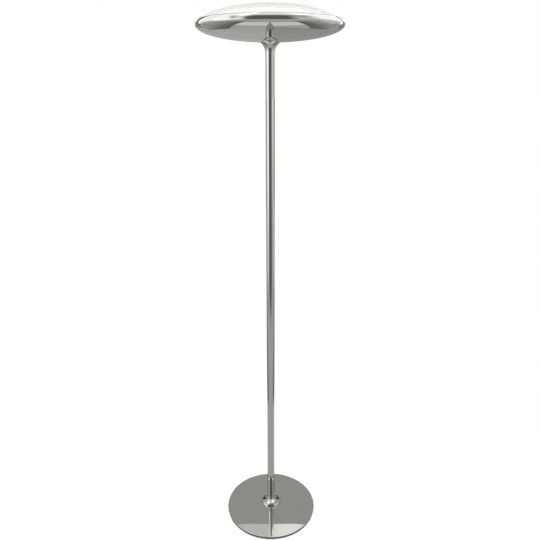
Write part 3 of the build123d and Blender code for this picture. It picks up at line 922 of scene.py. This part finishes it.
glass_start, glass_tip = reach_of("bulb_glass_1")
globe_radius = width_of("bulb_glass_1")
globe_middle = glass_tip - globe_radius
glass_neck_end = reach_of("bulb_cap_1")[1] + NECK_OUT
back = globe_middle - glass_neck_end
touch = math.acos(globe_radius / math.hypot(GLASS_NECK, back)) - math.atan2(back, GLASS_NECK)
corners = [(0, glass_start), (GLASS_NECK, glass_start), (GLASS_NECK, glass_neck_end)]
for step in range(GLOBE_STEPS):
    angle = touch + (math.pi / 2 - touch) * step / GLOBE_STEPS
    corners.append((globe_radius * math.cos(angle), globe_middle + globe_radius * math.sin(angle)))
corners.append((0, glass_tip))
for number, place in enumerate(light_places, start=1):
    node = f"bulb_glass_{number}"
    bulb = turned(f"frosted_bulb_{number}", node, corners, ROUND_SOME, place)
    settle(bulb, f"bulb_{number}", node)

# %% [markdown]
# ## The screw caps
# The thread of a bulb is rolled into its cap: a soft wave that climbs as it goes round. In a second
# Geometry Nodes tree, each point's radius follows a cosine of its height less its angle. The wave
# fades at both ends.

# %% Geometry Nodes: rolled thread
HALF_ROW = 0.5


def thread_tree():
    sizes = {name: "Float" for name in ("Radius", "Depth", "Pitch", "Start", "End")}
    inputs = {"Blank": "Geometry", **sizes, "Steps": "Int", "Rows": "Int", "Finish": "Material"}
    tree, given = new_group("Rolled thread", "GeometryNodeTree", inputs, {"Piece": "Geometry"})
    grid, row, turn = turned_grid(tree, given["Steps"], given["Rows"])
    last = whole_number("SUBTRACT", given["Rows"], 1)
    wall_rows = (1.0, minus(last, 1.0))
    height = rescaled(row, wall_rows, (given["Start"], given["End"]))
    climb = times(calculate("DIVIDE", height, given["Pitch"]), math.tau)
    wave = calculate("COSINE", minus(climb, turn))
    hollow = calculate("MULTIPLY_ADD", wave, -0.5, 0.5)
    to_ends = minus(height, given["Start"]), minus(given["End"], height)
    fade = rescaled(calculate("MINIMUM", *to_ends), (0.0, given["Pitch"]))
    depth = times(times(hollow, fade), given["Depth"])
    after_first = calculate("GREATER_THAN", row, HALF_ROW)
    before_last = calculate("LESS_THAN", row, minus(last, HALF_ROW))
    wall = minus(given["Radius"], depth)
    radius = times(wall, times(after_first, before_last))
    point = make(tree, "ShaderNodeCombineXYZ", {"X": radius, "Z": height})
    end_tree(tree, grid, point["Vector"], turn, given["Finish"])
    return tree


THREAD = thread_tree()
print("geometry tree:", THREAD.name, "with", len(THREAD.nodes), "nodes")

# %% Roll the screw caps
THREAD_PITCH = 3.62 * MM
THREAD_DEPTH = 1.1 * MM
ROWS_PER_TURN = 12
END_ROWS = 2
CAP_CONE = 4.0 * MM
CAP_MARGIN = 0.05 * MM

cap_start, cap_end = reach_of("bulb_cap_1")
cap_radius = width_of("bulb_cap_1")
thread_start = cap_start + CAP_CONE
cap_sizes = {
    "Radius": cap_radius,
    "Depth": THREAD_DEPTH,
    "Pitch": THREAD_PITCH,
    "Start": thread_start,
    "End": cap_end,
    "Steps": ROUND_FEW,
    "Rows": round((cap_end - thread_start) / THREAD_PITCH * ROWS_PER_TURN) + END_ROWS,
    "Finish": FINISHES["cap_nickel"],
}
cone = [
    (0, cap_start), (cap_radius - CAP_CONE, cap_start),
    (cap_radius - CAP_MARGIN, thread_start), (0, thread_start),
]
for number, place in enumerate(light_places, start=1):
    name, node, body = f"rolled_cap_{number}", f"bulb_cap_{number}", f"bulb_{number}"
    cap = grown(name, bpy.data.meshes.new(name), THREAD, cap_sizes)
    cap.data.transform(place)
    settle(cap, body, node)
    cup = turned(f"cap_cone_{number}", node, cone, ROUND_FEW, place)
    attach(cup, body)

# %% [markdown]
# ## The floor and the air
# The lamp stands on a white floor in a white room. For the eye, for mirrors and for glass, the far
# floor and the sky are simply white at strength one. Near the lamp the floor is a real surface, and
# there it keeps the lamp's soft shadow. It is lifted only as far as it takes to look white.

# %% Helpers for what a ray may see


def seen_directly(tree):
    """One for rays from the eye, from a mirror or through glass, and zero for the rest."""
    path = make(tree, "ShaderNodeLightPath")
    mirrored = calculate("MAXIMUM", path["Is Camera Ray"], path["Is Glossy Ray"])
    return calculate("MAXIMUM", mirrored, path["Is Transmission Ray"])


def smooth_step(value, low, high):
    return rescaled(value, (low, high), kind="SMOOTHSTEP")


def distance_out(tree):
    """Distance of a point from the middle of the stage."""
    spot = make(tree, "ShaderNodeTexCoord")["Object"]
    return make(tree, "ShaderNodeVectorMath", {0: spot}, operation="LENGTH")["Value"]


def empty_material(name):
    material = bpy.data.materials.new(name)
    material.use_nodes = True
    material.node_tree.nodes.clear()
    return material, material.node_tree


print("helpers: seen_directly, smooth_step, distance_out, empty_material")

# %% Floor
FLOOR_HALF = 40.0
FLOOR_SHADE = 0.8
FLOOR_LIFT = 0.48
SHADOW_FADE = (0.5, 1.5)

floor_material, tree = empty_material("pale_floor")
seen = seen_directly(tree)
far = times(smooth_step(distance_out(tree), *SHADOW_FADE), seen)
paint = make(tree, "ShaderNodeBsdfDiffuse", {"Color": (FLOOR_SHADE, FLOOR_SHADE, FLOOR_SHADE, 1)})
lift = make(tree, "ShaderNodeEmission", {"Strength": times(seen, FLOOR_LIFT)})
near = make(tree, "ShaderNodeAddShader", {0: paint[0], 1: lift[0]})
white = make(tree, "ShaderNodeEmission", {"Strength": 1.0})
both = make(tree, "ShaderNodeMixShader", {0: far, 1: near[0], 2: white[0]})
make(tree, "ShaderNodeOutputMaterial", {"Surface": both[0]})

floor_mesh = bpy.data.meshes.new("floor")
signs = [(-1, -1), (1, -1), (1, 1), (-1, 1)]
corners = [(x * FLOOR_HALF, y * FLOOR_HALF, 0) for x, y in signs]
floor_mesh.from_pydata(corners, [], [(0, 1, 2, 3)])
floor_mesh.materials.append(floor_material)
floor = new_piece("floor", floor_mesh)
print("floor:", 2 * FLOOR_HALF, "m wide")

# %% World
AIR_LIGHT = 0.50

world = bpy.data.worlds.new("white_air")
world.use_nodes = True
bpy.context.scene.world = world
tree = world.node_tree
tree.nodes.clear()
strength = rescaled(seen_directly(tree), new=(AIR_LIGHT, 1.0))
air = make(tree, "ShaderNodeBackground", {"Color": (1, 1, 1, 1), "Strength": strength})
make(tree, "ShaderNodeOutputWorld", {"Surface": air[0]})
print("world:", world.name)

# %% [markdown]
# ## Cards round the lamp
# In a wholly white room, chrome looks like milk. Photographers therefore stand grey, white and black
# cards round a shiny object, out of the picture. Here a round screen does that. It shows only in
# reflections and lights nothing. One shader group draws one soft-edged card, and the screen adds up
# a few. Directions are in degrees from the front, positive to the right. The heights of the cards at
# the back are those on a flat wall, so that their edges look straight in the plate.

# %% Shader group: one card
HALF_TURN = 180
CARD_SIZES = ["Middle", "Half width", "Soft side", "Low", "High", "Soft end", "Bright"]


def card_group():
    inputs = {name: "Float" for name in ["Direction", "Height", *CARD_SIZES]}
    tree, given = new_group("Studio card", "ShaderNodeTree", inputs, {"Light": "Float"})

    def beyond(value, at, soft):
        return smooth_step(value, minus(at, soft), calculate("ADD", at, soft))

    off = minus(given["Direction"], given["Middle"])
    off = calculate("ABSOLUTE", calculate("WRAP", off, HALF_TURN, -HALF_TURN))
    beside = beyond(off, given["Half width"], given["Soft side"])
    over = beyond(given["Height"], given["Low"], given["Soft end"])
    too_high = beyond(given["Height"], given["High"], given["Soft end"])
    inside = times(over, minus(1.0, too_high))
    shown = times(inside, minus(1.0, beside))
    make(tree, "NodeGroupOutput", {"Light": times(shown, given["Bright"])})
    return tree


CARD = card_group()
print("shader group:", CARD.name)

# %% Cards on the screen
LOW = -9.0
HIGH = 99.0
KEY_TOP = 1.95
WALL_FOOT = 1.75
BACK_LINE = 8.36
SIDE_CARDS = {
    "left key": (-63, 24, 7, LOW, KEY_TOP, 0.06, 1.20),
    "left key, low": (-63, 24, 7, LOW, -0.05, 0.75, -0.55),
    "left band": (-66, 30, 8, KEY_TOP, HIGH, 0.06, 0.35),
    "left band, front": (-46, 7, 4, KEY_TOP, 5.30, 0.30, 0.38),
    "upper left key": (-56, 26, 10, 5.30, HIGH, 0.30, 0.70),
    "left wall": (-110, 22, 6, LOW, HIGH, 0.10, 0.32),
    "left gap": (-149, 8, 3, LOW, WALL_FOOT, 0.10, 0.14),
    "right fill": (64, 26, 10, LOW, KEY_TOP, 0.06, 0.85),
    "right fill, low": (64, 26, 10, LOW, 0.60, 1.20, -0.50),
    "right side": (112, 24, 8, LOW, 0.30, 0.30, 0.50),
    "right wall": (112, 24, 8, 0.30, HIGH, 0.30, 0.28),
    "right band": (60, 28, 12, KEY_TOP, HIGH, 0.06, 0.33),
    "right corner": (147, 8, 4, LOW, WALL_FOOT, 0.10, 0.15),
    "front": (0, 40, 15, 4.60, HIGH, 0.60, 0.12),
}
BACK_CARDS = {
    "paper": (180, 22, 1, LOW, WALL_FOOT, 0.10, 0.19),
    "paper, left": (191, 11, 0.5, LOW, WALL_FOOT, 0.10, 0.12),
    # The thin card at the left edge of the back paper is a painted highlight along that edge.
    "paper edge, painted highlight": (201.5, 0.7, 0.3, LOW, 1.30, 0.30, 0.30),
    "wall": (180, 33, 2, WALL_FOOT, BACK_LINE, 0.03, 0.255),
    "light": (180, 50, 8, BACK_LINE, HIGH, 0.03, 0.55),
    "light, right": (162, 16, 8, BACK_LINE, HIGH, 0.03, 0.38),
}
print("cards on the screen:", len(SIDE_CARDS) + len(BACK_CARDS))

# %% Helpers that show cards
SCREEN_SIDES = 96
SCREEN_SHADE = 0.13
STAGE_TINT = (1.0, 1.0, 0.95, 1.0)


def all_cards(direction, *layers):
    """Light of the cards in a direction, each layer of them at its own height there."""
    total = SCREEN_SHADE
    for cards, height in layers:
        for sizes in cards.values():
            where = {"Direction": direction, "Height": height, **dict(zip(CARD_SIZES, sizes))}
            one = make(direction.id_data, "ShaderNodeGroup", where, node_tree=CARD)
            total = calculate("ADD", total, one["Light"])
    return total


def around(tree):
    """Position along each axis, and its direction in degrees from the front."""
    spot = make(tree, "ShaderNodeTexCoord")["Object"]
    axes = make(tree, "ShaderNodeSeparateXYZ", {0: spot})
    turn = calculate("ARCTAN2", axes["X"], times(axes["Y"], -1.0))
    return axes, calculate("DEGREES", turn)


def round_card(name, rows, material, first=-HALF_TURN, last=HALF_TURN):
    """Curved card through rows of (radius, height), between two directions, that only mirrors see."""
    turn = math.radians(last - first) / SCREEN_SIDES
    angles = [math.radians(first) + turn * side for side in range(SCREEN_SIDES + 1)]
    shape = bmesh.new()
    rings = []
    for radius, height in rows:
        places = [(radius * math.sin(angle), -radius * math.cos(angle), height) for angle in angles]
        rings.append([shape.verts.new(place) for place in places])
    for lower, upper in zip(rings, rings[1:]):
        for side in range(SCREEN_SIDES):
            shape.faces.new((lower[side], lower[side + 1], upper[side + 1], upper[side]))
    mesh = bpy.data.meshes.new(name)
    shape.to_mesh(mesh)
    shape.free()
    mesh.materials.append(material)
    card = new_piece(name, mesh)
    for ray in ("camera", "diffuse", "shadow", "volume_scatter"):
        setattr(card, "visible_" + ray, False)


def glowing(strength):
    """Ends a card's material in a plain glow, which needs no lamp."""
    tree = strength.id_data
    glow = make(tree, "ShaderNodeEmission", {"Color": STAGE_TINT, "Strength": strength})
    make(tree, "ShaderNodeOutputMaterial", {"Surface": glow[0]})


print("helpers: all_cards, around, round_card, glowing")

# %% Screen of cards
SCREEN_RADIUS = 5.0
SCREEN_HEIGHT = 9.5

screen_material, tree = empty_material("card_screen")
axes, direction = around(tree)
behind = calculate("MAXIMUM", axes["Y"], MM)
wall_height = times(axes["Z"], calculate("DIVIDE", SCREEN_RADIUS, behind))
glowing(all_cards(direction, (SIDE_CARDS, axes["Z"]), (BACK_CARDS, wall_height)))
screen_rows = [(SCREEN_RADIUS, 0), (SCREEN_RADIUS, SCREEN_HEIGHT), (MM, SCREEN_HEIGHT)]
round_card("card_screen", screen_rows, screen_material)
print("screen:", SCREEN_RADIUS, "m away")

# %% [markdown]
# The head and the base ask for different light from the same side of the screen. So four curved
# cards hang close round the head, where the base hardly sees them. And behind the base two stepped
# flags lean in over the floor: the foot sees their dark undersides, and the head sees only their
# grey tops, which look like the floor.

# %% Cards near the head
HEAD_CARD_TOP = [(0.80, 3.30), (0.20, 3.50)]
HEAD_CARD_SHAPES = {
    "left": ([(0.80, 1.52), *HEAD_CARD_TOP], -122, -53),
    "right": ([(0.80, 1.52), *HEAD_CARD_TOP], 50, 128),
    "front": ([(0.80, 2.36), *HEAD_CARD_TOP], -53, 50),
    "back": ([(0.45, 1.80), (0.45, 2.00)], 125, 235),
}
HEAD_CARDS = {
    "left key": (-60, 23, 6, LOW, HIGH, 0.10, 1.25),
    "left key, top": (-54, 8, 4, 2.04, 2.50, 0.06, -0.50),
    "left side": (-104, 21, 6, LOW, HIGH, 0.10, 0.50),
    "left side, upper": (-104, 21, 6, 1.70, HIGH, 0.10, 0.60),
    "right fill": (98, 54, 10, LOW, HIGH, 0.10, 0.52),
    "right fill, upper": (106, 42, 14, 1.80, HIGH, 0.16, 0.72),
    "front": (0, 53, 2, 2.42, HIGH, 0.06, 0.95),
    "right front": (60, 10, 6, 2.42, HIGH, 0.06, 0.50),
    "back": (180, 60, 5, LOW, HIGH, 0.10, 0.72),
}

head_card_material, tree = empty_material("head_card")
axes, direction = around(tree)
glowing(all_cards(direction, (HEAD_CARDS, axes["Z"])))
for side, (rows, *span) in HEAD_CARD_SHAPES.items():
    round_card("head_card_" + side, rows, head_card_material, *span)
print("cards near the head:", len(HEAD_CARD_SHAPES))

# %% Flags behind the base
FLAG_FAR = (4.50, 0.20)
FLAG_HIGH = (1.30, 1.15)
FLAG_LOW = (2.32, 0.85)
FLAG_SHAPES = {
    "left": (FLAG_HIGH, -145, -126),
    "left_low": (FLAG_LOW, -163, -145),
    "right": (FLAG_HIGH, 126, 145),
    "right_low": (FLAG_LOW, 145, 163),
}
FLAG_TOP = 0.42
FLAG_UNDER = 0.05

flag_material, tree = empty_material("flag")
under = make(tree, "ShaderNodeNewGeometry")["Backfacing"]
glowing(rescaled(under, new=(FLAG_TOP, FLAG_UNDER)))
for side, (near_edge, *span) in FLAG_SHAPES.items():
    round_card("flag_" + side, [FLAG_FAR, near_edge], flag_material, *span)
print("flags:", len(FLAG_SHAPES))

# %% [markdown]
# A grey sheet on the floor does the same for rays that leave the chrome downwards. It is dark close
# to the plate, as a floor is in the shade of an edge. A pale board lies under the lamp, the floor
# beside it is darker, and behind it the back paper sweeps down with a bowed edge. In front, the far
# part of the sheet takes on the light of the cards there.

# %% Sheet round the base
SHEET_GAP = 3 * MM
SHEET_LIFT = 0.3 * MM
SHEET_SHADE = 0.46
EDGE_SHADE = 0.12
EDGE_WIDTH = 0.03
BOARD_HALF_WIDTH = 0.72
BOARD_FRONT = (0.05, 0.10)
BOARD_REAR = 1.05
BOARD_SHADE = 0.76
SIDE_START = (-0.6, -0.1)
SIDE_SPAN = (0.75, 1.6)
SIDE_SHADES = (0.15, 0.35)
SWEEP_EDGE = 1.4
SWEEP_BOW = -1.6
SWEEP_BLEND = 0.1
SWEEP_SHADES = (0.47, 0.34)
FADE_SPAN = (1.4, 2.3)
FADE_LATER = 0.6
FADE_TURN = (30, 15)
FADE_SIDE = (128, 10)
FLOOR_FALL = 0.3
SOFT_EDGE = 0.03

sheet_material, tree = empty_material("grey_sheet")
axes, direction = around(tree)
away = distance_out(tree)
beside = calculate("ABSOLUTE", axes["X"])
sheet_start = plate_radius + SHEET_GAP


def past(value, edge, soft=SOFT_EDGE):
    """Goes softly from zero to one where a value passes an edge."""
    return smooth_step(value, edge - soft, edge + soft)


board_front = past(axes["Y"], *BOARD_FRONT)
on_board = minus(board_front, past(axes["Y"], BOARD_REAR))
shade = blend(on_board, SHEET_SHADE, BOARD_SHADE)
side_shade = blend(smooth_step(beside, *SIDE_SPAN), *SIDE_SHADES)
from_front = smooth_step(axes["Y"], *SIDE_START)
shade = blend(times(past(beside, BOARD_HALF_WIDTH), from_front), shade, side_shade)
bowed = calculate("MULTIPLY_ADD", times(beside, beside), SWEEP_BOW, axes["Y"])
sweep_shade = blend(past(axes["X"], 0.0, SWEEP_BLEND), *SWEEP_SHADES)
shade = blend(past(bowed, SWEEP_EDGE), shade, sweep_shade)
open_floor = smooth_step(away, sheet_start, sheet_start + EDGE_WIDTH)
shade = blend(open_floor, EDGE_SHADE, shade)
to_side = calculate("ABSOLUTE", direction)
in_front = minus(1.0, past(to_side, *FADE_SIDE))
turned_away = past(to_side, *FADE_TURN)
reach = calculate("MULTIPLY_ADD", turned_away, -FADE_LATER, away)
fade = times(smooth_step(reach, *FADE_SPAN), in_front)
card_height = times(minus(away, SCREEN_RADIUS), FLOOR_FALL)
far_light = all_cards(direction, (SIDE_CARDS, card_height), (BACK_CARDS, card_height))
glowing(blend(fade, shade, far_light))
sheet_rows = [(sheet_start, SHEET_LIFT), (SCREEN_RADIUS, SHEET_LIFT)]
round_card("grey_sheet", sheet_rows, sheet_material)
print("sheet from", round(sheet_start, 3), "to", SCREEN_RADIUS, "m")

# %% [markdown]
# ## Lamps
# Four large, soft lamps give the white dome its form: a key from the front left, a weaker fill from
# the front right, one above and one behind. They stay out of the mirrors, where the cards stand for
# them.

# %% Soft lamps
LAMPS = {
    "key": ((-2.4, -2.6, 2.6), 1.6, 34.0),
    "fill": ((2.6, -2.2, 2.2), 1.8, 24.0),
    "top": ((0.0, -0.6, 4.0), 2.0, 24.0),
    "back": ((0.4, 3.0, 2.8), 1.8, 22.0),
}
LAMP_AIM = Vector((0, 0, 1.5))
for name, (place, size, power) in LAMPS.items():
    light = bpy.data.lights.new(name, "AREA")
    light.shape = "DISK"
    light.size = size
    light.energy = power
    lamp = new_piece(name, light)
    lamp.location = place
    lamp.rotation_euler = (LAMP_AIM - Vector(place)).to_track_quat("-Z", "Y").to_euler()
    lamp.visible_glossy = False
print("lamps:", sorted(LAMPS))

# %% [markdown]
# ## The camera
# The picture was taken from eye height, about two paces away, with the camera tipped down so that
# the underside of the head and the top of the base both show. The lens follows from the widths of
# those two ellipses. A hand never holds quite level, so the camera leans by a tenth of a degree.

# %% Camera
CAMERA_PLACE = (0.0, -1.691, 1.594)
CAMERA_TIP = math.radians(19.51)
CAMERA_LEAN = math.radians(-0.115)
CAMERA_LENS = 35.59
CAMERA_SENSOR = 36.0
CAMERA_SHIFT = -0.001

camera_data = bpy.data.cameras.new("camera")
camera_data.lens = CAMERA_LENS
camera_data.sensor_width = CAMERA_SENSOR
camera_data.shift_x = CAMERA_SHIFT
camera = new_piece("camera", camera_data)
camera.location = CAMERA_PLACE
tipped = Matrix.Rotation(math.pi / 2 - CAMERA_TIP, 3, "X")
camera.rotation_euler = (tipped @ Matrix.Rotation(CAMERA_LEAN, 3, "Z")).to_euler()
scene = bpy.context.scene
scene.camera = camera
scene.view_settings.view_transform = "Standard"
print("camera at", CAMERA_PLACE)
